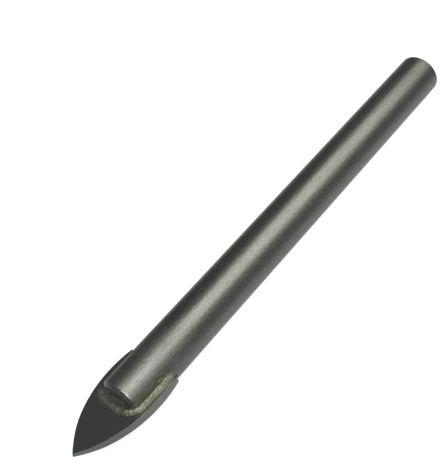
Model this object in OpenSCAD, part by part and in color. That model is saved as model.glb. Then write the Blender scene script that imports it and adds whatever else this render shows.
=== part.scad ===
// Spear-point drill bit for glass and tile, lying on its shank as it comes to rest.
// A ground carbide plate sits in a slot across the end of a round steel shank and is brazed there.
// Every piece is drawn on the bit's own axes and then laid down: X runs along the bit from its
// point to the chuck end, Y lies across the plate, and Z stands out of the plate's front face.

/* [Bit] */
// Length from the point to the chuck end
overall_l = 64; // [45:0.5:120]

/* [Carbide plate] */
// Drilling diameter, across the two cutting corners
tip_w = 8; // [7:0.1:12]
// Thickness of the plate
tip_t = 1.4; // [1:0.1:2]
// Length of the plate, from the point to its square rear end
tip_l = 11.8; // [10.5:0.1:14]
// Distance from the point to the cutting corners, where the plate is widest
corner_x = 8.6; // [7:0.1:10]
// Relief angle of the ground flanks behind the cutting edges, in degrees
relief_angle = 19; // [8:1:24]
// How far the relief is turned towards the shank, in degrees
relief_sweep = 33; // [0:1:45]

/* [Shank] */
// Diameter of the round shank
shank_d = 5.3; // [4.5:0.1:6.5]
// Depth of the slot that holds the plate
slot_depth = 5.2; // [4:0.1:6.5]
// Chamfer round the slotted end
slot_end_chamfer = 0.45; // [0.1:0.05:0.8]
// Length of the slightly tapered front that holds the slot
taper_l = 6; // [5.5:0.1:9]
// Amount by which the taper lessens the radius
taper_drop = 0.05; // [0.02:0.01:0.2]
// Chamfer round the chuck end
chuck_end_chamfer = 0.3; // [0.1:0.05:1]

/* [Braze] */
// Thickness of the braze film between the plate and the slot
film_t = 0.1; // [0.05:0.01:0.2]
// Radius of the bead's rounded back
bead_r = 0.6; // [0.5:0.05:0.8]
// Height of the bead above the plate's face
bead_rise = 0.4; // [0.3:0.05:0.5]
// Distance of the bead's crest out from the side of the shank
bead_side = 0.4; // [0.2:0.05:0.6]
// Distance of the bead's crest ahead of the slotted end
bead_lead = 0.8; // [0.4:0.05:1.2]
// Radius at which the crest turns the corner of the slotted end
bead_turn_r = 1.4; // [0.9:0.1:2]
// Distance of the bead's far end in from the other side of the shank
bead_far_in = 0.35; // [0.2:0.05:0.6]
// Radius of the bead where it fades out at its far end
bead_fade_r = 0.35; // [0.32:0.01:0.45]
// Depth of the braze that lies between the bead and the side of the shank
pool_depth = 0.25; // [0.15:0.05:0.28]
// Depth of the braze that lies ahead of the slotted end
front_depth = 0.12; // [0.08:0.01:0.14]

/* [Hidden] */
$fn = 96;

// Margin by which cutting shapes run past what they cut
over = 1;

shank_r = shank_d / 2;
front_r = shank_r - taper_drop;
corner_y = tip_w / 2;
face_z = tip_t / 2;

// The plate's rear end beds on the slot's floor through the film
slot_floor_x = tip_l + film_t;
slot_mouth_x = slot_floor_x - slot_depth;
slot_half_t = face_z + film_t;

// Each flank is part of a large cylinder that leans back from its cutting edge
function unit(v) = v / norm(v);
flank_lean = [
    -sin(relief_angle) * sin(relief_sweep),
    -sin(relief_angle) * cos(relief_sweep),
    cos(relief_angle)
];

// Seen along the lean, the flank is a circle that runs through the point of the bit
// and is level with the bit's axis at the cutting corner
cutting_corner = [corner_x, -corner_y, face_z];
flank_along = unit([1, 0, 0] - flank_lean[0] * flank_lean);
flank_across = cross(flank_lean, flank_along);
corner_along = cutting_corner * flank_along;
corner_across = cutting_corner * flank_across;
flank_r = (corner_along ^ 2 + corner_across ^ 2) / (2 * abs(corner_across));
flank_centre = cutting_corner - sign(corner_across) * flank_r * flank_across;

// Path of the bead's crest on the plate's face
bead_z = face_z + bead_rise - bead_r;
bead_y = shank_r + bead_side;
bead_end_x = slot_mouth_x - bead_lead;
bead_turn_x = bead_end_x + bead_turn_r;
bead_turn_y = bead_y - bead_turn_r;
bead_tail_x = tip_l - bead_r;
bead_far_y = shank_r - bead_far_in;

// Lays a piece on the table, with its middle over the origin and the plate level
module lay_down() {
    translate([-overall_l / 2, 0, shank_r])
        children();
}

// Repeats a shape on both faces of the plate, half a turn apart about the axis
module both_faces() {
    for (turn = [0, 180])
        rotate([turn, 0, 0])
            children();
}

// Round bar with its tapered front and two chamfered ends, before it is slotted
module shank_bar() {
    rotate([0, 90, 0])
        rotate_extrude()
            polygon([
                [0, slot_mouth_x],
                [front_r - slot_end_chamfer, slot_mouth_x],
                [front_r, slot_mouth_x + slot_end_chamfer],
                [shank_r, slot_mouth_x + taper_l],
                [shank_r, overall_l - chuck_end_chamfer],
                [shank_r - chuck_end_chamfer, overall_l],
                [0, overall_l]
            ]);
}

// Saw cut across the bar
module slot() {
    translate([slot_mouth_x - over, -shank_r - over, -slot_half_t])
        cube([slot_depth + over, shank_d + 2 * over, 2 * slot_half_t]);
}

// Cylinder whose side is the ground flank behind one cutting edge
module flank() {
    translate(flank_centre)
        rotate([relief_angle, 0, -relief_sweep])
            cylinder(r = flank_r, h = 2 * flank_r, center = true);
}

// What both ground flanks leave of a shape
module ground_to_flanks() {
    intersection() {
        children();
        flank();
        rotate([180, 0, 0])
            flank();
    }
}

// Flat stock that the plate is ground from
module plate_stock() {
    translate([-over, -corner_y - over, -face_z])
        cube([tip_l + over, tip_w + 2 * over, tip_t]);
}

// Rounded bead along the cutting-edge side of the slotted end, which fades out across its front
module bead() {
    translate([bead_turn_x, -bead_y, bead_z])
        rotate([0, 90, 0])
            cylinder(r = bead_r, h = bead_tail_x - bead_turn_x);
    translate([bead_tail_x, -bead_y, bead_z])
        sphere(r = bead_r);
    translate([bead_turn_x, -bead_turn_y, bead_z])
        rotate([0, 0, 180])
            rotate_extrude(angle = 90)
                translate([bead_turn_r, 0])
                    circle(r = bead_r);
    translate([bead_end_x, -bead_turn_y, bead_z])
        rotate([-90, 0, 0])
            cylinder(r1 = bead_r, r2 = bead_fade_r, h = bead_turn_y + bead_far_y);
    translate([bead_end_x, bead_far_y, bead_z])
        sphere(r = bead_fade_r);
}

// Area between the bead's crest and the side of the shank
module side_pool() {
    translate([bead_turn_x, -bead_y])
        square([bead_tail_x - bead_turn_x, bead_y]);
    translate([bead_turn_x, -bead_turn_y])
        circle(r = bead_turn_r);
}

// Area between the bead's crest and the front of the shank
module front_pool() {
    translate([bead_end_x, -bead_turn_y])
        square([bead_turn_r, bead_turn_y + bead_far_y]);
}

// Braze on one face, before the shank is taken out of it: the bead and the pools that it holds
module face_braze() {
    bead();
    translate([0, 0, face_z])
        linear_extrude(height = pool_depth)
            side_pool();
    translate([0, 0, face_z])
        linear_extrude(height = front_depth)
            front_pool();
}

// Braze that fills the slot round the plate
module slot_braze() {
    intersection() {
        shank_bar();
        slot();
    }
}

module slotted_bar() {
    difference() {
        shank_bar();
        slot();
    }
}

module shank() {
    color("dimgray")
        lay_down()
            slotted_bar();
}

// Spear-shaped plate with its two cutting edges and the chisel edge at the point
module carbide_tip() {
    color("darkslategray")
        lay_down()
            ground_to_flanks()
                plate_stock();
}

// Thin film round the plate in the slot, and a bead on each face, ground off with the flanks
module braze_joint() {
    color("darkkhaki")
        lay_down()
            ground_to_flanks()
                difference() {
                    union() {
                        slot_braze();
                        both_faces()
                            face_braze();
                    }
                    slotted_bar();
                    plate_stock();
                }
}

shank();
carbide_tip();
braze_joint();
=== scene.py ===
"""Looks of a spear-point drill bit for glass and tile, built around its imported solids.

The bit lies on a pale floor with its plate level, in the frame of the solids: X runs from the
point to the chuck end, Y across the plate and Z up. Pieces are modelled in millimetres, and each
is brought to metres when it is handed over.
"""

import logging
import math
from dataclasses import dataclass, field
from enum import Enum
from typing import Any

import bpy
import numpy as np
from mathutils import Matrix, Vector, noise

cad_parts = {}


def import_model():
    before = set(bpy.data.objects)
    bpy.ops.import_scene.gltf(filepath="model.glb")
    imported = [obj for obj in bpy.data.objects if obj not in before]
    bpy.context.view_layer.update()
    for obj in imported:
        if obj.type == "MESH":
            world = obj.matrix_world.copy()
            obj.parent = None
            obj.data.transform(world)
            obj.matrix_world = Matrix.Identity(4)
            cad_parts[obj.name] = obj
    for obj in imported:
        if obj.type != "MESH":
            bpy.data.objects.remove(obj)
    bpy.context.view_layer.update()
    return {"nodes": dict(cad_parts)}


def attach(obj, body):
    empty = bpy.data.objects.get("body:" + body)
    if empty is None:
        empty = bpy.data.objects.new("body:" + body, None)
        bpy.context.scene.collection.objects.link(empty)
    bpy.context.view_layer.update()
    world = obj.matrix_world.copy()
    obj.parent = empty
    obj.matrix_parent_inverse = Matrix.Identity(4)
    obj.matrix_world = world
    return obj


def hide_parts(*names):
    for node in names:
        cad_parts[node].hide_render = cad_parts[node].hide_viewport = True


# One millimetre in metres
MM = 0.001
# Height of the bit's axis above the floor, in millimetres
AXIS_MM = 2.65
BODY = "root"
# Attribute of the braze: 0 where it thins out to a stain, 1 where it is thick and clean
BRAZE_DEPTH = "braze_depth"
LOG = logging.getLogger("drill_bit")

Triple = tuple[float, float, float]
Span = tuple[float, float]


class Piece(Enum):
    """The three pieces that brazing makes into one bit, by the names of their solids."""

    SHANK = "shank"
    TIP = "carbide_tip"
    BRAZE = "braze_joint"


class Cut(Enum):
    """What a block does to a piece, by Blender's names of the operation."""

    TAKE_OUT = "DIFFERENCE"
    KEEP_INSIDE = "INTERSECT"


def linear(hex_colour: str) -> tuple[float, float, float, float]:
    """Turn an sRGB hex colour into linear values.

    Args:
        hex_colour: Colour such as "#808080".

    Returns:
        Red, green, blue and alpha, linear.
    """
    channels = [int(hex_colour[i:i + 2], 16) / 255 for i in (1, 3, 5)]
    parts = [c / 12.92 if c <= 0.04045 else ((c + 0.055) / 1.055) ** 2.4 for c in channels]
    return (parts[0], parts[1], parts[2], 1.0)


def add_node(tree: bpy.types.NodeTree, kind: str, settings: dict[str, Any] | None = None,
             **inputs: Any) -> bpy.types.Node:
    """Add a node, set its properties and feed its inputs.

    Args:
        tree: Node tree that gets the node.
        kind: Blender's name of the node type.
        settings: Properties of the node.
        inputs: Values or output sockets for inputs, by name with underscores for spaces,
            or by place as in0, in1 and so on.

    Returns:
        The new node.
    """
    node = tree.nodes.new(kind)
    for name, value in (settings or {}).items():
        setattr(node, name, value)
    for name, value in inputs.items():
        place = name[2:]
        socket = node.inputs[int(place)] if name.startswith("in") and place.isdigit() \
            else node.inputs[name.replace("_", " ")]
        if isinstance(value, bpy.types.NodeSocket):
            tree.links.new(value, socket)
        else:
            socket.default_value = value
    return node


def blank_material(name: str) -> tuple[bpy.types.Material, bpy.types.NodeTree]:
    """Make a material with an empty node tree.

    Args:
        name: Name of the material.

    Returns:
        The material and its tree.
    """
    material = bpy.data.materials.new(name)
    material.use_nodes = True
    material.node_tree.nodes.clear()
    return material, material.node_tree


def pattern_place(tree: bpy.types.NodeTree, grain_mm: Triple) -> bpy.types.NodeSocket:
    """Give object coordinates that count the grains of a pattern along each axis.

    Args:
        tree: Node tree that gets the nodes.
        grain_mm: Length of one grain along X, Y and Z, in millimetres.

    Returns:
        Output with the scaled coordinates.
    """
    place = add_node(tree, "ShaderNodeTexCoord")
    scale = tuple(1 / (MM * length) for length in grain_mm)
    return add_node(tree, "ShaderNodeMapping", Vector=place.outputs["Object"],
                    Scale=scale).outputs[0]


def place_axes(tree: bpy.types.NodeTree) -> bpy.types.Node:
    """Give a node whose three outputs are X, Y and Z of the object coordinates."""
    place = add_node(tree, "ShaderNodeTexCoord")
    return add_node(tree, "ShaderNodeSeparateXYZ", in0=place.outputs["Object"])


def face_side(tree: bpy.types.NodeTree, axes: bpy.types.Node) -> bpy.types.NodeSocket:
    """Give Y as seen on either face of the plate, which are half a turn apart about the axis.

    Args:
        tree: Node tree that gets the nodes.
        axes: Node with the separate object coordinates.

    Returns:
        Output with Y on the upper face, and with its opposite on the lower face.
    """
    above = add_node(tree, "ShaderNodeMath", {"operation": "SUBTRACT"},
                     in0=axes.outputs[2], in1=AXIS_MM * MM)
    face = add_node(tree, "ShaderNodeMath", {"operation": "SIGN"}, in0=above.outputs[0])
    return add_node(tree, "ShaderNodeMath", {"operation": "MULTIPLY"},
                    in0=axes.outputs[1], in1=face.outputs[0]).outputs[0]


@dataclass(frozen=True)
class DrawnSteel:
    """Drawn and centreless-ground tool steel, oiled dark.

    Its rims are worn bright in patches, its slotted end has painted light towards one side where
    its chamfer catches the light, and the heat of the brazing left the front of the bar duller.
    """

    # The grinding gives a satin that draws each lamp out into a soft band along the bar,
    # and the oil makes it dark and a little green.
    name: str = "tool_steel_ground_dark"
    dark: str = "#373935"
    light: str = "#a8aaa4"
    roughness: float = 0.36
    roughness_swing: float = 0.05
    # Draw lines and grinding grain are about 0.02 mm wide on a real bar. Both are drawn coarser
    # here, because they would not show in the render.
    streak_mm: Triple = (3.0, 0.12, 0.12)
    grain_mm: float = 0.2
    grain_share: float = 0.7
    tone_span: Span = (0.13, 0.87)
    bump_mm: float = 0.012
    # Slow waves of the ground skin, and patches of the oil film
    mottle_mm: Triple = (0.7, 0.45, 0.45)
    mottle_bump_mm: float = 0.012
    oil_mm: Triple = (4.0, 1.5, 1.5)
    # Rubbed spots, and the rims that have them: the slotted end's chamfer, the chuck end and the
    # slotted end's face, each by its X and half its width
    # The colour and roughness of the worn rims also give the painted light on the slotted end
    worn_and_lit: str = "#b4b6b0"
    worn_and_lit_roughness: float = 0.3
    worn_mm: float = 0.22
    rub_span: Span = (0.42, 0.58)
    rims_mm: Triple = (-24.95, 31.91, -25.245)
    rim_half_mm: Triple = (0.07, 0.07, 0.04)
    # Painted light on the slotted end, lighter towards the side where its chamfer catches the
    # light, and the width over which it grows
    end_painted_light: float = 0.4
    end_painted_light_mm: Span = (-1.2, 2.4)
    # Length over which the dulling by heat fades out, and what it adds to the roughness
    dulled_mm: Span = (-20.5, -13.5)
    dulled_roughness: float = 0.1

    def worn_and_lit_share(self, tree: bpy.types.NodeTree, axes: bpy.types.Node) -> bpy.types.NodeSocket:
        """Give the share of worn metal on the rims and of painted light on the slotted end.

        Args:
            tree: Node tree that gets the nodes.
            axes: Node with the separate object coordinates.

        Returns:
            Output with the share.
        """
        front, rear, inner = (
            add_node(tree, "ShaderNodeMath", {"operation": "COMPARE"}, in0=axes.outputs[0],
                     in1=rim * MM, in2=half * MM)
            for rim, half in zip(self.rims_mm, self.rim_half_mm))
        rims = add_node(tree, "ShaderNodeMath", {"operation": "MAXIMUM"},
                        in0=front.outputs[0], in1=rear.outputs[0])
        rims = add_node(tree, "ShaderNodeMath", {"operation": "MAXIMUM"},
                        in0=rims.outputs[0], in1=inner.outputs[0])
        rubs = add_node(tree, "ShaderNodeTexNoise", Scale=1.0, Detail=2.0,
                        Vector=pattern_place(tree, (self.worn_mm,) * 3))
        patchy = add_node(tree, "ShaderNodeMapRange", Value=rubs.outputs[0],
                          From_Min=self.rub_span[0], From_Max=self.rub_span[1])
        worn_and_lit = add_node(tree, "ShaderNodeMath", {"operation": "MULTIPLY"},
                        in0=rims.outputs[0], in1=patchy.outputs[0])
        # Painted light: the slotted end is drawn lighter towards the side where its chamfer
        # catches the light
        end = add_node(tree, "ShaderNodeMath", {"operation": "LESS_THAN"},
                       in0=axes.outputs[0], in1=self.rims_mm[0] * MM)
        light_tint = add_node(tree, "ShaderNodeMapRange", Value=face_side(tree, axes),
                        From_Min=self.end_painted_light_mm[0] * MM, From_Max=self.end_painted_light_mm[1] * MM,
                        To_Max=self.end_painted_light)
        end = add_node(tree, "ShaderNodeMath", {"operation": "MULTIPLY"},
                       in0=end.outputs[0], in1=light_tint.outputs[0])
        return add_node(tree, "ShaderNodeMath", {"operation": "MAXIMUM"},
                        in0=worn_and_lit.outputs[0], in1=end.outputs[0]).outputs[0]

    def material(self) -> bpy.types.Material:
        """Build the material: long faint draw lines, a fine grain and an uneven oil film.

        Returns:
            The material.
        """
        material, tree = blank_material(self.name)
        axes = place_axes(tree)
        streaks = add_node(tree, "ShaderNodeTexNoise", Scale=1.0, Detail=3.0, Roughness=0.6,
                           Vector=pattern_place(tree, self.streak_mm))
        grain = add_node(tree, "ShaderNodeTexNoise", Scale=1.0, Detail=4.0, Roughness=0.7,
                         Vector=pattern_place(tree, (self.grain_mm,) * 3))
        oil = add_node(tree, "ShaderNodeTexNoise", Scale=1.0, Detail=2.0,
                       Vector=pattern_place(tree, self.oil_mm))
        mottle = add_node(tree, "ShaderNodeTexNoise", Scale=1.0, Detail=2.0, Roughness=0.6,
                          Vector=pattern_place(tree, self.mottle_mm))
        both = add_node(tree, "ShaderNodeMix", {"data_type": "FLOAT"}, Factor=self.grain_share,
                        in2=streaks.outputs[0], in3=grain.outputs[0])
        tone = add_node(tree, "ShaderNodeMapRange", Value=both.outputs[0],
                        From_Min=self.tone_span[0], From_Max=self.tone_span[1])
        colour = add_node(tree, "ShaderNodeMix", {"data_type": "RGBA"}, in0=tone.outputs[0],
                          in6=linear(self.dark), in7=linear(self.light))
        rough = add_node(tree, "ShaderNodeMapRange", Value=oil.outputs[0],
                         To_Min=self.roughness - self.roughness_swing,
                         To_Max=self.roughness + self.roughness_swing)
        heat = add_node(tree, "ShaderNodeMapRange", {"interpolation_type": "SMOOTHSTEP"},
                        Value=axes.outputs[0], To_Min=self.dulled_roughness, To_Max=0.0,
                        From_Min=self.dulled_mm[0] * MM, From_Max=self.dulled_mm[1] * MM)
        rough = add_node(tree, "ShaderNodeMath", {"operation": "ADD"},
                         in0=rough.outputs[0], in1=heat.outputs[0])
        worn_and_lit = self.worn_and_lit_share(tree, axes)
        # Worn rims, and the painted light on the slotted end
        colour = add_node(tree, "ShaderNodeMix", {"data_type": "RGBA"}, in0=worn_and_lit,
                          in6=colour.outputs[2], in7=linear(self.worn_and_lit))
        rough = add_node(tree, "ShaderNodeMix", {"data_type": "FLOAT"}, Factor=worn_and_lit,
                         in2=rough.outputs[0], in3=self.worn_and_lit_roughness)
        waves = add_node(tree, "ShaderNodeBump", Strength=1.0, Height=mottle.outputs[0],
                         Distance=self.mottle_bump_mm * MM)
        bump = add_node(tree, "ShaderNodeBump", Strength=1.0, Height=both.outputs[0],
                        Distance=self.bump_mm * MM, Normal=waves.outputs[0])
        shader = add_node(tree, "ShaderNodeBsdfPrincipled", Base_Color=colour.outputs[2],
                          Metallic=1.0, Roughness=rough.outputs[0], Normal=bump.outputs[0])
        add_node(tree, "ShaderNodeOutputMaterial", Surface=shader.outputs[0])
        return material


@dataclass(frozen=True)
class SinteredCarbide:
    """Tungsten carbide, sintered and ground, with a thin film of braze where one wetted it."""

    # The lapping gives a close, even grey satin with soft reflections and hardly a line in them.
    name: str = "tungsten_carbide_lapped"
    dark: str = "#808380"
    light: str = "#8e918e"
    roughness: float = 0.34
    roughness_swing: float = 0.04
    # Real carbide grains are a few thousandths of a millimetre, and the lines of the grinding
    # hardly wider. Both are drawn coarser here, because they would not show in the render.
    grain_mm: float = 0.14
    grain_share: float = 0.6
    lay_mm: Triple = (0.1, 2.0, 2.0)
    bump_mm: float = 0.003
    # Film of braze, warmer and duller, between the fillet and the cutting edge. It grows over one
    # width across the plate and one length along it, and no colour means no film.
    wetted: str | None = "#a6a694"
    wetted_roughness: float = 0.45
    wetted_side_mm: Span = (-3.0, -3.6)
    wetted_front_mm: Span = (-26.6, -25.0)

    def wetted_share(self, tree: bpy.types.NodeTree) -> bpy.types.NodeSocket:
        """Give the share of thin braze that wetted the face beside the fillet, on either face.

        Args:
            tree: Node tree that gets the nodes.

        Returns:
            Output with the share.
        """
        axes = place_axes(tree)
        reaches = ((face_side(tree, axes), self.wetted_side_mm),
                   (axes.outputs[0], self.wetted_front_mm))
        side, ahead = (
            add_node(tree, "ShaderNodeMapRange", {"interpolation_type": "SMOOTHSTEP"},
                     Value=value, From_Min=span[0] * MM, From_Max=span[1] * MM)
            for value, span in reaches)
        return add_node(tree, "ShaderNodeMath", {"operation": "MULTIPLY"},
                        in0=side.outputs[0], in1=ahead.outputs[0]).outputs[0]

    def material(self) -> bpy.types.Material:
        """Build the material: a fine grinding lay across the plate over an even grain.

        Returns:
            The material.
        """
        material, tree = blank_material(self.name)
        lay = add_node(tree, "ShaderNodeTexNoise", Scale=1.0, Detail=3.0,
                       Vector=pattern_place(tree, self.lay_mm))
        grain = add_node(tree, "ShaderNodeTexNoise", Scale=1.0, Detail=4.0, Roughness=0.65,
                         Vector=pattern_place(tree, (self.grain_mm,) * 3))
        both = add_node(tree, "ShaderNodeMix", {"data_type": "FLOAT"}, Factor=self.grain_share,
                        in2=lay.outputs[0], in3=grain.outputs[0])
        colour = add_node(tree, "ShaderNodeMix", {"data_type": "RGBA"}, in0=both.outputs[0],
                          in6=linear(self.dark), in7=linear(self.light))
        rough = add_node(tree, "ShaderNodeMapRange", Value=grain.outputs[0],
                         To_Min=self.roughness - self.roughness_swing,
                         To_Max=self.roughness + self.roughness_swing)
        if self.wetted:
            film = self.wetted_share(tree)
            colour = add_node(tree, "ShaderNodeMix", {"data_type": "RGBA"}, in0=film,
                              in6=colour.outputs[2], in7=linear(self.wetted))
            rough = add_node(tree, "ShaderNodeMix", {"data_type": "FLOAT"}, Factor=film,
                             in2=rough.outputs[0], in3=self.wetted_roughness)
        bump = add_node(tree, "ShaderNodeBump", Strength=1.0, Height=both.outputs[0],
                        Distance=self.bump_mm * MM)
        shader = add_node(tree, "ShaderNodeBsdfPrincipled", Base_Color=colour.outputs[2],
                          Metallic=1.0, Roughness=rough.outputs[0], Normal=bump.outputs[0])
        add_node(tree, "ShaderNodeOutputMaterial", Surface=shader.outputs[0])
        return material


@dataclass(frozen=True)
class BrazeAlloy:
    """Silver braze, melted in place and left as it set."""

    # The rough skin gives a dull olive gold with small glints. It is greyer where it fades out
    # across the front, and stained where it thins out.
    name: str = "silver_braze_as_set"
    stained: str = "#64635a"
    stained_grey: str = "#858478"
    dull: str = "#58594f"
    bright: str = "#959783"
    grey: str = "#9a9b96"
    roughness: float = 0.5
    roughness_swing: float = 0.12
    # The grain and the bright facets of a real braze are under 0.1 mm. Both are drawn coarser
    # here, because they would not show in the render.
    grain_mm: float = 0.3
    glint_mm: float = 0.16
    glint_height: float = 0.4
    glint_share: float = 0.4
    bump_mm: float = 0.09
    bump_strength: float = 0.8
    # Width across the plate over which the gold turns grey
    fade_mm: Span = (-2.7, -1.2)

    def material(self) -> bpy.types.Material:
        """Build the material: a coarse set grain with glints, stained where it thins out.

        Returns:
            The material.
        """
        material, tree = blank_material(self.name)
        grain = add_node(tree, "ShaderNodeTexNoise", Scale=1.0, Detail=4.0, Roughness=0.6,
                         Vector=pattern_place(tree, (self.grain_mm,) * 3))
        glint = add_node(tree, "ShaderNodeTexVoronoi", Scale=1.0,
                         Vector=pattern_place(tree, (self.glint_mm,) * 3))
        height = add_node(tree, "ShaderNodeMath", {"operation": "MULTIPLY_ADD"},
                          in0=glint.outputs[0], in1=self.glint_height, in2=grain.outputs[0])
        speck = add_node(tree, "ShaderNodeMix", {"data_type": "FLOAT"}, Factor=self.glint_share,
                         in2=grain.outputs[0], in3=glint.outputs["Color"])
        gold = add_node(tree, "ShaderNodeMix", {"data_type": "RGBA"}, in0=speck.outputs[0],
                        in6=linear(self.dull), in7=linear(self.bright))
        fade = add_node(tree, "ShaderNodeMapRange", {"interpolation_type": "SMOOTHSTEP"},
                        Value=face_side(tree, place_axes(tree)),
                        From_Min=self.fade_mm[0] * MM, From_Max=self.fade_mm[1] * MM)
        clean = add_node(tree, "ShaderNodeMix", {"data_type": "RGBA"}, in0=fade.outputs[0],
                         in6=gold.outputs[2], in7=linear(self.grey))
        stain = add_node(tree, "ShaderNodeMix", {"data_type": "RGBA"}, in0=fade.outputs[0],
                         in6=linear(self.stained), in7=linear(self.stained_grey))
        depth = add_node(tree, "ShaderNodeAttribute", {"attribute_name": BRAZE_DEPTH})
        colour = add_node(tree, "ShaderNodeMix", {"data_type": "RGBA"}, in0=depth.outputs["Fac"],
                          in6=stain.outputs[2], in7=clean.outputs[2])
        rough = add_node(tree, "ShaderNodeMapRange", Value=glint.outputs[0],
                         To_Min=self.roughness - self.roughness_swing,
                         To_Max=self.roughness + self.roughness_swing)
        bump = add_node(tree, "ShaderNodeBump", Strength=self.bump_strength,
                        Height=height.outputs[0], Distance=self.bump_mm * MM)
        shader = add_node(tree, "ShaderNodeBsdfPrincipled", Base_Color=colour.outputs[2],
                          Metallic=1.0, Roughness=rough.outputs[0], Normal=bump.outputs[0])
        add_node(tree, "ShaderNodeOutputMaterial", Surface=shader.outputs[0])
        return material


def dress(piece: bpy.types.Object, material: bpy.types.Material) -> None:
    """Put one material all over a piece."""
    piece.data.materials.clear()
    piece.data.materials.append(material)


def only(piece: bpy.types.Object) -> None:
    """Select one piece alone and make it active.

    Args:
        piece: Piece that the next operators act on.
    """
    bpy.ops.object.select_all(action="DESELECT")
    piece.select_set(True)
    bpy.context.view_layer.objects.active = piece


def apply_modifier(piece: bpy.types.Object, kind: str, **settings: Any) -> None:
    """Add a modifier with its settings and apply it.

    Args:
        piece: Piece that the modifier shapes.
        kind: Blender's name of the modifier type.
        settings: Properties of the modifier.
    """
    modifier = piece.modifiers.new(kind.lower(), kind)
    for name, value in settings.items():
        setattr(modifier, name, value)
    only(piece)
    bpy.ops.object.modifier_apply(modifier=modifier.name)


def cut(piece: bpy.types.Object, operation: Cut, low: Triple, high: Triple) -> None:
    """Cut a piece with a block between two corners.

    Args:
        piece: Piece that is cut.
        operation: Whether the block is taken out or only its inside is kept.
        low: Lower corner of the block.
        high: Upper corner of the block.
    """
    bpy.ops.object.select_all(action="DESELECT")
    bpy.ops.mesh.primitive_cube_add(size=1, location=[(a + b) / 2 for a, b in zip(low, high)],
                                    scale=[b - a for a, b in zip(low, high)])
    block = bpy.context.object
    bpy.ops.object.transform_apply()
    apply_modifier(piece, "BOOLEAN", operation=operation.value, object=block, solver="EXACT")
    bpy.data.objects.remove(block)


def hand_over(piece: bpy.types.Object, stands_for: Piece) -> None:
    """Bring a piece from millimetres to metres and let it stand for its solid.

    Args:
        piece: Finished piece, modelled in millimetres at the origin.
        stands_for: Solid that it replaces.
    """
    piece.data.transform(Matrix.Scale(MM, 4))
    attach(piece, BODY)
    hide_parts(stands_for.value)
    LOG.info("%s stands for %s with %d faces", piece.name, stands_for.value,
             len(piece.data.polygons))


@dataclass
class Shank:
    """Round bar with a sawn slot, its corners slightly rounded by use. Sizes in millimetres."""

    finish: DrawnSteel = field(default_factory=DrawnSteel)
    radius: float = 2.65
    front_radius: float = 2.6
    front_x: float = -25.3
    taper_x: float = -19.3
    rear_x: float = 32.0
    front_chamfer: float = 0.37
    rear_chamfer: float = 0.1
    slot_floor_x: float = -20.1
    slot_half: float = 0.8
    # Length by which the saw runs past the slotted end
    saw_over: float = 1.0
    # Rounding of a corner, and the most that it may take of the straight on either side
    corner_round: float = 0.09
    corner_share: float = 0.45
    round_steps: int = 4
    turns: int = 128
    # Plane that is merged into the first point of the section, and reach of the merging
    seed_size: float = 0.1
    weld: float = 1e-4
    smooth_deg: float = 28.0

    def corner(self, before: Vector, at: Vector, after: Vector) -> list[Vector]:
        """Round one corner of the profile.

        Args:
            before: Profile point ahead of the corner.
            at: The corner.
            after: Profile point past the corner.

        Returns:
            Points along the rounding, from the near side to the far side.
        """
        size = min(self.corner_round, self.corner_share * (before - at).length,
                   self.corner_share * (after - at).length)
        first = at + (before - at).normalized() * size
        last = at + (after - at).normalized() * size
        steps = [i / self.round_steps for i in range(self.round_steps + 1)]
        return [first.lerp(at, s).lerp(at.lerp(last, s), s) for s in steps]

    def profile(self) -> list[Vector]:
        """Draw the half section, from the front's centre to the rear's centre.

        Returns:
            Points of the section, with its corners rounded and the start of the taper left plain.
        """
        axis = Vector((0, 0, AXIS_MM))
        section = (
            (self.front_x, 0, False),
            (self.front_x, self.front_radius - self.front_chamfer, True),
            (self.front_x + self.front_chamfer, self.front_radius, True),
            (self.taper_x, self.radius, False),
            (self.rear_x - self.rear_chamfer, self.radius, True),
            (self.rear_x, self.radius - self.rear_chamfer, True),
            (self.rear_x, 0, False))
        points = [axis + Vector((x, 0, r)) for x, r, _ in section]
        line = []
        for i, (_, _, rounded) in enumerate(section):
            line += self.corner(*points[i - 1:i + 2]) if rounded else [points[i]]
        return line

    def turned_bar(self, name: str) -> bpy.types.Object:
        """Draw the half section point by point and spin it round the axis.

        Args:
            name: Name of the new bar.

        Returns:
            The bar, before it is slotted.
        """
        bpy.ops.object.select_all(action="DESELECT")
        line = self.profile()
        bpy.ops.mesh.primitive_plane_add(size=self.seed_size, location=line[0])
        bar = bpy.context.object
        bar.name = name
        bpy.ops.object.transform_apply()
        bpy.ops.object.mode_set(mode="EDIT")
        bpy.ops.mesh.select_all(action="SELECT")
        bpy.ops.mesh.merge(type="CENTER")
        for here, there in zip(line, line[1:]):
            bpy.ops.mesh.extrude_region_move(TRANSFORM_OT_translate={"value": there - here})
        bpy.ops.mesh.select_all(action="SELECT")
        bpy.ops.mesh.spin(steps=self.turns, angle=2 * math.pi, center=(0, 0, AXIS_MM),
                          axis=(1, 0, 0))
        bpy.ops.mesh.select_all(action="SELECT")
        bpy.ops.mesh.remove_doubles(threshold=self.weld)
        bpy.ops.mesh.normals_make_consistent(inside=False)
        bpy.ops.object.mode_set(mode="OBJECT")
        return bar

    def slot_block(self) -> tuple[Triple, Triple]:
        """Give the two corners of the block that the saw takes out."""
        wide = 2 * self.radius
        return ((self.front_x - self.saw_over, -wide, AXIS_MM - self.slot_half),
                (self.slot_floor_x, wide, AXIS_MM + self.slot_half))

    def build(self) -> None:
        """Turn the bar, saw its slot and dress it."""
        bar = self.turned_bar("shank_bar")
        cut(bar, Cut.TAKE_OUT, *self.slot_block())
        only(bar)
        bpy.ops.object.shade_smooth_by_angle(angle=math.radians(self.smooth_deg))
        dress(bar, self.finish.material())
        hand_over(bar, Piece.SHANK)


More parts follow.
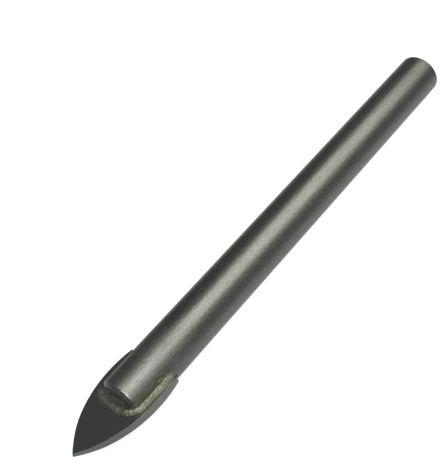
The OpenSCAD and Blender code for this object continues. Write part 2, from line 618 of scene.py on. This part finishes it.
@dataclass
class BrazeFillet:
    """Braze that flowed round the plate and set with an uneven skin. Sizes in millimetres.

    A hollow fillet runs down the side of the shank, turns the corner of its slotted end as a ridge
    and fades out across the front. Each place on its crest is given by X, Y, its height above the
    plate, the width of its outer slope, the height of the valley behind it and how hollow it is.
    """

    shank: Shank
    finish: BrazeAlloy = field(default_factory=BrazeAlloy)
    crest: tuple[tuple[float, float, float, float, float, float], ...] = (
        (-20.22, -2.80, 0.20, 0.64, 0.20, 1.0), (-20.7, -2.98, 0.35, 0.61, 0.38, 1.0),
        (-21.4, -3.09, 0.41, 0.62, 0.43, 1.0), (-22.2, -3.12, 0.40, 0.57, 0.38, 1.0),
        (-23.0, -3.12, 0.39, 0.53, 0.31, 1.0), (-23.8, -3.11, 0.38, 0.51, 0.25, 1.0),
        (-24.6, -3.07, 0.37, 0.47, 0.19, 0.95), (-25.1, -2.91, 0.37, 0.43, 0.12, 0.85),
        (-25.52, -2.60, 0.36, 0.44, 0.10, 0.7), (-25.84, -2.20, 0.34, 0.46, 0.06, 0.6),
        (-26.08, -1.60, 0.30, 0.48, 0.04, 0.5), (-26.17, -0.80, 0.26, 0.46, 0.04, 0.4),
        (-26.18, 0.0, 0.22, 0.44, 0.04, 0.4), (-26.16, 1.20, 0.18, 0.44, 0.04, 0.4),
        (-26.0, 2.00, 0.14, 0.42, 0.04, 0.4), (-25.6, 2.55, 0.09, 0.36, 0.04, 0.4))
    path_steps: int = 14
    # The plate: height of its upper face, X of its rear end, half its thickness, and the length by
    # which the block that stands for it runs past the slotted end
    face_z: float = 3.35
    plate_rear_x: float = -20.2
    plate_half: float = 0.7
    plate_over: float = 2.0
    # Sheet that the braze is raised from: its cells and two of its corners
    grid: float = 0.05
    low: Span = (-26.7, -3.8)
    high: Span = (-20.2, 3.0)
    # Side of the shank on the plate's face, rounding of its corner, and how far the braze runs in
    wall_y: float = 2.48
    wall_round: float = 0.35
    sunk: float = 0.15
    # Depth of the braze's edge under the face, depth of its foot as a multiple of that, and drop
    # of the lower sheet before it is flattened to the foot
    dip: float = 0.03
    foot_dips: float = 1.2
    foot_drop: float = 0.5
    # Heights between which a stain turns into clean braze, and least clean share inside the crest
    thin: Span = (0.03, 0.24)
    inside_clean: float = 0.5
    # A hollow outer slope follows this share of half a wave, up to this multiple of its width
    slope_turn: float = 0.85
    slope_reach: float = 1.3
    # Widening of the inner slope where it is not hollow
    soft_back: float = 0.9
    # Unevenness: size, amount and slice of each noise, and the seed of the wander
    wander: Triple = (0.9, 0.07, 9.0)
    lump: Triple = (0.6, 0.2, 0.0)
    grain: Triple = (0.22, 0.022, 5.0)
    wander_seed: int = 5
    # Least height that the lumps work on, and height from which the grain shows in full
    lump_least: float = 0.05
    grain_full: float = 0.1
    smooth_deg: float = 50.0

    def path(self) -> np.ndarray:
        """Draw the crest as a smooth line through its places.

        Returns:
            Close places along the line, with the same six values as the crest.
        """
        knots = np.array(self.crest)
        knots = np.vstack([2 * knots[0] - knots[1], knots, 2 * knots[-1] - knots[-2]])
        s = np.linspace(0, 1, self.path_steps, endpoint=False)[:, None]
        runs = []
        for a, b, c, d in zip(knots, knots[1:], knots[2:], knots[3:]):
            runs.append(0.5 * (2 * b + (c - a) * s + (2 * a - 5 * b + 4 * c - d) * s ** 2
                               + (3 * b - a - 3 * c + d) * s ** 3))
        return np.vstack(runs + [knots[-2:-1]])

    def off_wall(self, place: np.ndarray) -> np.ndarray:
        """Measure how far places on the plate's face are from the outside of the shank.

        Args:
            place: X and Y of each place.

        Returns:
            Distance of each place, below zero inside the shank.
        """
        ahead = np.maximum(self.shank.front_x + self.wall_round - place[:, 0], 0)
        beside = np.maximum(np.abs(place[:, 1]) - self.wall_y + self.wall_round, 0)
        inside = np.minimum(place[:, 0] - self.shank.front_x, self.wall_y - np.abs(place[:, 1]))
        outside = np.hypot(ahead, beside) - self.wall_round
        return np.where((ahead == 0) & (beside == 0), -np.maximum(inside, self.wall_round),
                        outside)

    def rise(self, place: np.ndarray) -> tuple[np.ndarray, np.ndarray]:
        """Work out how high the braze stands above the plate.

        Args:
            place: X and Y of each point on the plate's face.

        Returns:
            Height at each point, below zero where the plate is bare, and whether it is outside
            the crest.
        """
        # The crest wanders a little, from a fixed seed so that each run gives the same shape
        noise.seed_set(self.wander_seed)
        size, amount, layer = self.wander
        drift = [noise.noise_vector(Vector((x, y, layer)) / size)[:2] for x, y in place]
        place = place + np.array(drift) * amount
        # Nearest place on the crest, and the side of it that each point is on
        path = self.path()
        run = np.gradient(path[:, :2], axis=0)
        run /= np.linalg.norm(run, axis=1)[:, None]
        near = np.linalg.norm(place[:, None] - path[None, :, :2], axis=2).argmin(axis=1)
        step = place - path[near, :2]
        away = np.linalg.norm(step, axis=1)
        past = (step * run[near]).sum(axis=1)
        outer = run[near, 0] * step[:, 1] - run[near, 1] * step[:, 0] > 0
        outer |= ((near == len(path) - 1) & (past > 0)) | ((near == 0) & (past < 0))
        # The outer slope falls to the plate, and the inner one eases down to the valley
        height, slope, valley, hollow = path[near, 2:].T
        share = np.clip(away / slope, 0, self.slope_reach)
        turn = self.slope_turn * math.pi
        wave, end = np.cos(turn * share), math.cos(turn)
        falling = height * (hollow * (wave - end) / (1 - end) + (1 - hollow) * (1 - share ** 2))
        inner = np.minimum(away / slope / (1 + self.soft_back * (1 - hollow)), 1)
        ease = inner ** 2 * (3 - 2 * inner)
        level = np.where(outer, falling, height + (valley - height) * ease)
        # Lumps grow with the height, and the grain fades out with it
        for i, (x, y) in enumerate(place):
            lump, grain = (noise.noise(Vector((x, y, layer)) / size) * amount
                           for size, amount, layer in (self.lump, self.grain))
            shown = min(max(level[i], 0) / self.grain_full, 1)
            level[i] += max(level[i], self.lump_least) * lump + grain * shown
        return np.maximum(level, -self.dip), outer

    def skin(self) -> bpy.types.Object:
        """Raise the braze on the upper face out of a fine sheet and close it underneath.

        Returns:
            The braze on one face.
        """
        wide, deep = (b - a for a, b in zip(self.low, self.high))
        bpy.ops.object.select_all(action="DESELECT")
        bpy.ops.mesh.primitive_grid_add(
            x_subdivisions=round(wide / self.grid), y_subdivisions=round(deep / self.grid), size=1,
            location=(self.low[0] + wide / 2, self.low[1] + deep / 2, self.face_z))
        sheet = bpy.context.object
        bpy.ops.transform.resize(value=(wide, deep, 1))
        bpy.ops.object.transform_apply()
        place = np.array([v.co[:2] for v in sheet.data.vertices])
        level, outer = self.rise(place)
        bare = (level <= -self.dip) | (self.off_wall(place) < -self.sunk)
        depth = sheet.data.attributes.new(BRAZE_DEPTH, "FLOAT", "POINT")
        thick = np.clip((level - self.thin[0]) / (self.thin[1] - self.thin[0]), 0, 1)
        thick = np.where(outer, thick, self.inside_clean + (1 - self.inside_clean) * thick)
        for vertex, height, gone, share in zip(sheet.data.vertices, level, bare, thick):
            vertex.co.z = self.face_z + height
            vertex.select = bool(gone)
            depth.data[vertex.index].value = share
        for part in (*sheet.data.edges, *sheet.data.polygons):
            part.select = False
        bpy.ops.object.mode_set(mode="EDIT")
        bpy.ops.mesh.select_mode(type="VERT")
        bpy.ops.mesh.delete(type="VERT")
        bpy.ops.mesh.select_all(action="SELECT")
        bpy.ops.mesh.extrude_region_move(
            TRANSFORM_OT_translate={"value": (0, 0, -self.foot_drop)})
        foot_z = self.face_z - self.foot_dips * self.dip
        bpy.ops.transform.resize(value=(1, 1, 0), center_override=(0, 0, foot_z))
        bpy.ops.mesh.select_all(action="SELECT")
        bpy.ops.mesh.normals_make_consistent(inside=False)
        bpy.ops.object.mode_set(mode="OBJECT")
        return sheet

    def film(self) -> bpy.types.Object:
        """Cut the thin film round the plate in the slot out of the whole bar.

        Returns:
            The film.
        """
        film = self.shank.turned_bar("braze_fillet")
        wide = 2 * self.shank.radius
        cut(film, Cut.KEEP_INSIDE, *self.shank.slot_block())
        cut(film, Cut.TAKE_OUT,
            (self.shank.front_x - self.plate_over, -wide, AXIS_MM - self.plate_half),
            (self.plate_rear_x, wide, AXIS_MM + self.plate_half))
        return film

    def build(self) -> None:
        """Join the film to the skin on both faces and dress them."""
        film, front = self.film(), self.skin()
        only(front)
        bpy.ops.object.duplicate()
        back = bpy.context.object
        axis = Matrix.Translation((0, 0, AXIS_MM))
        back.data.transform(axis @ Matrix.Rotation(math.pi, 4, "X") @ axis.inverted())
        only(film)
        front.select_set(True)
        back.select_set(True)
        bpy.ops.object.join()
        bpy.ops.object.shade_smooth_by_angle(angle=math.radians(self.smooth_deg))
        dress(film, self.finish.material())
        hand_over(film, Piece.BRAZE)


@dataclass
class CarbideTip:
    """Spear plate with lapped faces, ground flanks and honed edges. Sizes in millimetres."""

    solid: bpy.types.Object
    face_finish: SinteredCarbide = field(default_factory=SinteredCarbide)
    # The wheel gives the flanks a satin a little darker and sharper than that of the faces
    flank_finish: SinteredCarbide = field(default_factory=lambda: SinteredCarbide(
        name="tungsten_carbide_wheel_ground", dark="#757674", light="#848583", roughness=0.3,
        wetted=None))
    hone: float = 0.025
    hone_segments: int = 2
    # Least angle of an edge that is honed and stays sharp in the shading
    edge_deg: float = 30.0
    point_x: float = -32.0
    half: float = 0.7
    # Lean of the chisel edge, length over which it fades out, and step of the cuts that carry it
    point_lean: float = 0.13
    lean_reach: float = 3.0
    lean_step: float = 0.2
    # Reach of the merging, and angle below which the solid's triangles count as one flat face
    weld: float = 1e-3
    flat_deg: float = 0.05
    # Parts of a normal from which a surface counts as a face of the plate or as its rear end
    face_normal: float = 0.8
    rear_normal: float = 0.9

    def lean_point(self, tip: bpy.types.Object) -> None:
        """Twist the plate's edges near the point, so that the chisel edge leans across it.

        Args:
            tip: Merged plate, in millimetres.
        """
        only(tip)
        bpy.ops.object.mode_set(mode="EDIT")
        for step in range(1, round(self.lean_reach / self.lean_step) + 1):
            bpy.ops.mesh.select_all(action="SELECT")
            bpy.ops.mesh.bisect(plane_co=(self.point_x + step * self.lean_step, 0, AXIS_MM),
                                plane_no=(1, 0, 0))
        bpy.ops.object.mode_set(mode="OBJECT")
        for vertex in tip.data.vertices:
            share = min(max((vertex.co.x - self.point_x) / self.lean_reach, 0), 1)
            ease = (1 - share) ** 2 * (1 + 2 * share)
            vertex.co.y -= self.point_lean * ease * (vertex.co.z - AXIS_MM) / self.half

    def build(self) -> None:
        """Hone a copy of the solid's edges and dress its faces and flanks."""
        tip = bpy.data.objects.new("carbide_spear", self.solid.data.copy())
        bpy.context.scene.collection.objects.link(tip)
        tip.data.transform(Matrix.Scale(1 / MM, 4))
        only(tip)
        bpy.ops.object.mode_set(mode="EDIT")
        bpy.ops.mesh.select_all(action="SELECT")
        bpy.ops.mesh.remove_doubles(threshold=self.weld)
        bpy.ops.mesh.dissolve_limited(angle_limit=math.radians(self.flat_deg))
        bpy.ops.object.mode_set(mode="OBJECT")
        self.lean_point(tip)
        apply_modifier(tip, "BEVEL", width=self.hone, segments=self.hone_segments,
                       limit_method="ANGLE", angle_limit=math.radians(self.edge_deg))
        only(tip)
        bpy.ops.object.shade_smooth_by_angle(angle=math.radians(self.edge_deg))
        apply_modifier(tip, "WEIGHTED_NORMAL", keep_sharp=True)
        dress(tip, self.face_finish.material())
        tip.data.materials.append(self.flank_finish.material())
        for face in tip.data.polygons:
            face.material_index = int(abs(face.normal.z) < self.face_normal
                                      and face.normal.x < self.rear_normal)
        hand_over(tip, Piece.TIP)


@dataclass(frozen=True)
class SoftBox:
    """A soft studio lamp with its place, aim, sizes and level."""

    name: str
    place_mm: Triple
    aim_mm: Triple
    size_mm: Span
    watts: float
    colour: str

    def build(self) -> None:
        """Add the lamp, turned to its aim with its longer side along the bit."""
        lamp = bpy.data.lights.new(self.name, "AREA")
        lamp.shape = "RECTANGLE"
        lamp.size, lamp.size_y = (s * MM for s in self.size_mm)
        lamp.energy = self.watts
        lamp.color = linear(self.colour)[:3]
        obj = bpy.data.objects.new(self.name, lamp)
        bpy.context.scene.collection.objects.link(obj)
        place = Vector(self.place_mm) * MM
        back = (place - Vector(self.aim_mm) * MM).normalized()
        side = (Vector((1, 0, 0)) - back * back.x).normalized()
        turn = Matrix((side, back.cross(side), back)).transposed().to_4x4()
        obj.matrix_world = Matrix.Translation(place) @ turn


@dataclass
class Studio:
    """Pale floor, white surroundings for the camera, a dim room for the metal and soft lamps."""

    floor_half_mm: float = 2500.0
    floor_cells: int = 4
    floor_colour: str = "#8e8e8e"
    # Glow of the floor to the camera, close to the bit and far from it, and where it changes
    floor_glow: Span = (0.88, 1.0)
    glow_mm: Span = (45.0, 140.0)
    glow_colour: str = "#ffffff"
    # Glow of the floor in the metal, by its distance across the bit, and less under the tip
    mirrored: str = "#f0f7ff"
    mirrored_near: float = 0.42
    mirrored_far: float = 0.0
    near_mm: Span = (-10.0, -4.0)
    tip_shade: float = 0.36
    tip_shade_mm: Span = (-33.0, -23.0)
    # Level of the surroundings in the metal and to the camera
    room_level: Span = (0.13, 1.0)
    room_colour: str = "#ffffff"
    lamps: tuple[SoftBox, ...] = (
        SoftBox(name="key_softbox", place_mm=(95.0, -102.6, 213.2), aim_mm=(0.0, 0.0, 3.0),
                size_mm=(300.0, 218.0), watts=0.45, colour="#fcfff6"),
        SoftBox(name="low_softbox", place_mm=(60.0, -235.0, 95.0), aim_mm=(0.0, 0.0, 3.0),
                size_mm=(420.0, 90.0), watts=0.03, colour="#fcfff6"),
        SoftBox(name="rim_softbox", place_mm=(-88.0, -97.0, 158.0), aim_mm=(-25.0, 0.0, 4.0),
                size_mm=(60.0, 60.0), watts=0.24, colour="#ffffff"),
    )

    def floor(self) -> None:
        """Lay the floor: white to the camera, and in the metal brightest close to the bit."""
        bpy.ops.object.select_all(action="DESELECT")
        bpy.ops.mesh.primitive_grid_add(x_subdivisions=self.floor_cells,
                                        y_subdivisions=self.floor_cells,
                                        size=2 * self.floor_half_mm * MM)
        floor = bpy.context.object
        floor.name = "floor"
        # Matt paper gives an even white with a soft shadow and no gloss
        material, tree = blank_material("pale_paper_floor")
        paper = add_node(tree, "ShaderNodeBsdfDiffuse", Color=linear(self.floor_colour))
        path = add_node(tree, "ShaderNodeLightPath")
        place = add_node(tree, "ShaderNodeTexCoord")
        axes = add_node(tree, "ShaderNodeSeparateXYZ", in0=place.outputs["Object"])
        pool = add_node(tree, "ShaderNodeMapRange", {"interpolation_type": "SMOOTHSTEP"},
                        Value=axes.outputs[1],
                        From_Min=self.near_mm[0] * MM, From_Max=self.near_mm[1] * MM,
                        To_Min=self.mirrored_far, To_Max=self.mirrored_near)
        shade = add_node(tree, "ShaderNodeMapRange", Value=axes.outputs[0],
                         From_Min=self.tip_shade_mm[0] * MM, From_Max=self.tip_shade_mm[1] * MM,
                         To_Min=self.tip_shade)
        pool = add_node(tree, "ShaderNodeMath", {"operation": "MULTIPLY"},
                        in0=pool.outputs[0], in1=shade.outputs[0])
        mirror = add_node(tree, "ShaderNodeMath", {"operation": "MAXIMUM"},
                          in0=path.outputs["Is Glossy Ray"],
                          in1=path.outputs["Is Transmission Ray"])
        level = add_node(tree, "ShaderNodeMath", {"operation": "MULTIPLY"},
                         in0=mirror.outputs[0], in1=pool.outputs[0])
        reach = add_node(tree, "ShaderNodeVectorMath", {"operation": "LENGTH"},
                         in0=place.outputs["Object"])
        white = add_node(tree, "ShaderNodeMapRange", {"interpolation_type": "SMOOTHSTEP"},
                         Value=reach.outputs["Value"],
                         From_Min=self.glow_mm[0] * MM, From_Max=self.glow_mm[1] * MM,
                         To_Min=self.floor_glow[0], To_Max=self.floor_glow[1])
        level = add_node(tree, "ShaderNodeMath", {"operation": "MULTIPLY_ADD"},
                         in0=path.outputs["Is Camera Ray"], in1=white.outputs[0],
                         in2=level.outputs[0])
        light_tint = add_node(tree, "ShaderNodeMix", {"data_type": "RGBA"}, in0=mirror.outputs[0],
                        in6=linear(self.glow_colour), in7=linear(self.mirrored))
        glow = add_node(tree, "ShaderNodeEmission", Color=light_tint.outputs[2],
                        Strength=level.outputs[0])
        both = add_node(tree, "ShaderNodeAddShader", in0=paper.outputs[0], in1=glow.outputs[0])
        add_node(tree, "ShaderNodeOutputMaterial", Surface=both.outputs[0])
        floor.data.materials.append(material)

    def room(self) -> None:
        """Set the surroundings: white for the camera, a dim room for the metal."""
        world = bpy.data.worlds.new("studio_room")
        world.use_nodes = True
        tree = world.node_tree
        tree.nodes.clear()
        path = add_node(tree, "ShaderNodeLightPath")
        level = add_node(tree, "ShaderNodeMapRange", Value=path.outputs["Is Camera Ray"],
                         To_Min=self.room_level[0], To_Max=self.room_level[1])
        glow = add_node(tree, "ShaderNodeBackground", Color=linear(self.room_colour),
                        Strength=level.outputs[0])
        add_node(tree, "ShaderNodeOutputWorld", Surface=glow.outputs[0])
        bpy.context.scene.world = world

    def build(self) -> None:
        """Build floor, surroundings and lamps."""
        self.floor()
        self.room()
        for lamp in self.lamps:
            lamp.build()


@dataclass(frozen=True)
class Viewpoint:
    """The photograph's camera: its place, its right and up directions and its lens."""

    place_mm: Triple = (-40.058, -51.732, 58.741)
    right: Triple = (0.62562, -0.71249, -0.31772)
    up: Triple = (0.65274, 0.25506, 0.71336)
    lens_mm: float = 59.99
    sensor_mm: float = 36.0
    clip_m: Span = (0.001, 20.0)

    def build(self) -> None:
        """Add the camera and make it the scene's."""
        data = bpy.data.cameras.new("photo_camera")
        data.lens, data.sensor_width = self.lens_mm, self.sensor_mm
        data.clip_start, data.clip_end = self.clip_m
        camera = bpy.data.objects.new("photo_camera", data)
        bpy.context.scene.collection.objects.link(camera)
        right = Vector(self.right).normalized()
        up = Vector(self.up)
        up = (up - right * up.dot(right)).normalized()
        turn = Matrix((right, up, right.cross(up))).transposed().to_4x4()
        camera.matrix_world = Matrix.Translation(Vector(self.place_mm) * MM) @ turn
        bpy.context.scene.camera = camera


def main() -> None:
    """Build the dressed bit, the studio and the camera."""
    logging.basicConfig(level=logging.INFO)
    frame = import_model()
    bpy.context.scene.view_settings.view_transform = "Standard"
    nodes = frame["nodes"]
    shank = Shank()
    shank.build()
    CarbideTip(nodes[Piece.TIP.value]).build()
    BrazeFillet(shank).build()
    Studio().build()
    Viewpoint().build()


if __name__ == "__main__":
    main()
